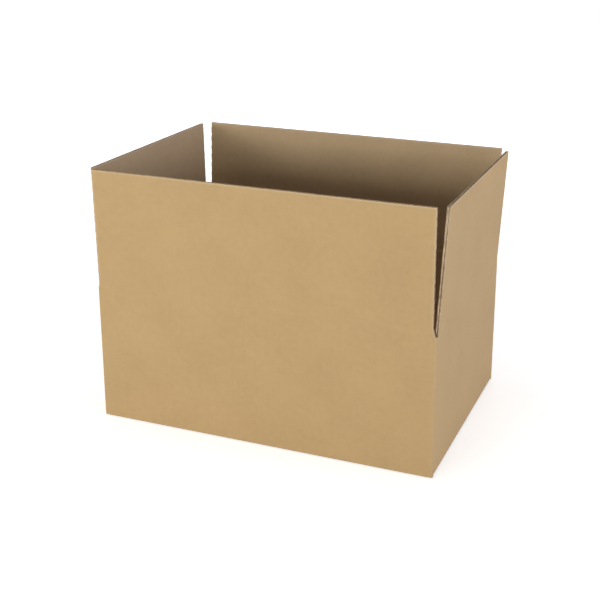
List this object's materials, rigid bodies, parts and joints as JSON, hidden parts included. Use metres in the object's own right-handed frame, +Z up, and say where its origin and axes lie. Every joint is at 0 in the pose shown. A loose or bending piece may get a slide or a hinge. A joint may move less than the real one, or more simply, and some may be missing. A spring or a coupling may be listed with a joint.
{
  "type": "cardboard box",
  "caption": "Rectangular carton folded from corrugated board, shut below and open above, with hinged top flaps standing up at its sides.",
  "frame": {"origin": "centre of the base, on the floor that the carton stands on", "axes": "+Z up, +X along the wide walls to the right end, and the front wall faces -Y"},
  "size_m": [0.461, 0.3157, 0.3357],
  "materials": {
    "kraft_board": "matte uncoated brown kraft"
  },
  "bodies": {
    "carton": {"carton_body": "kraft_board"},
    "flap_front": {"top_flap_front": "kraft_board"},
    "flap_back": {"top_flap_back": "kraft_board"},
    "flap_left": {"top_flap_left": "kraft_board"},
    "flap_right": {"top_flap_right": "kraft_board"}
  },
  "joints": [
    {"name": "front_fold", "type": "hinge", "parent": "carton", "child": "flap_front", "pos_m": [0, -0.15015, 0.18605], "axis": [-1, 0, 0], "range_deg": [-178.1, 91.9]},
    {"name": "back_fold", "type": "hinge", "parent": "carton", "child": "flap_back", "pos_m": [0, 0.15015, 0.18605], "axis": [1, 0, 0], "range_deg": [-175.9, 94.1]},
    {"name": "left_fold", "type": "hinge", "parent": "carton", "child": "flap_left", "pos_m": [-0.22515, 0, 0.18225], "axis": [0, 1, 0], "range_deg": [-179, 91]},
    {"name": "right_fold", "type": "hinge", "parent": "carton", "child": "flap_right", "pos_m": [0.22515, 0, 0.18225], "axis": [0, -1, 0], "range_deg": [-176.9, 93.1]}
  ]
}
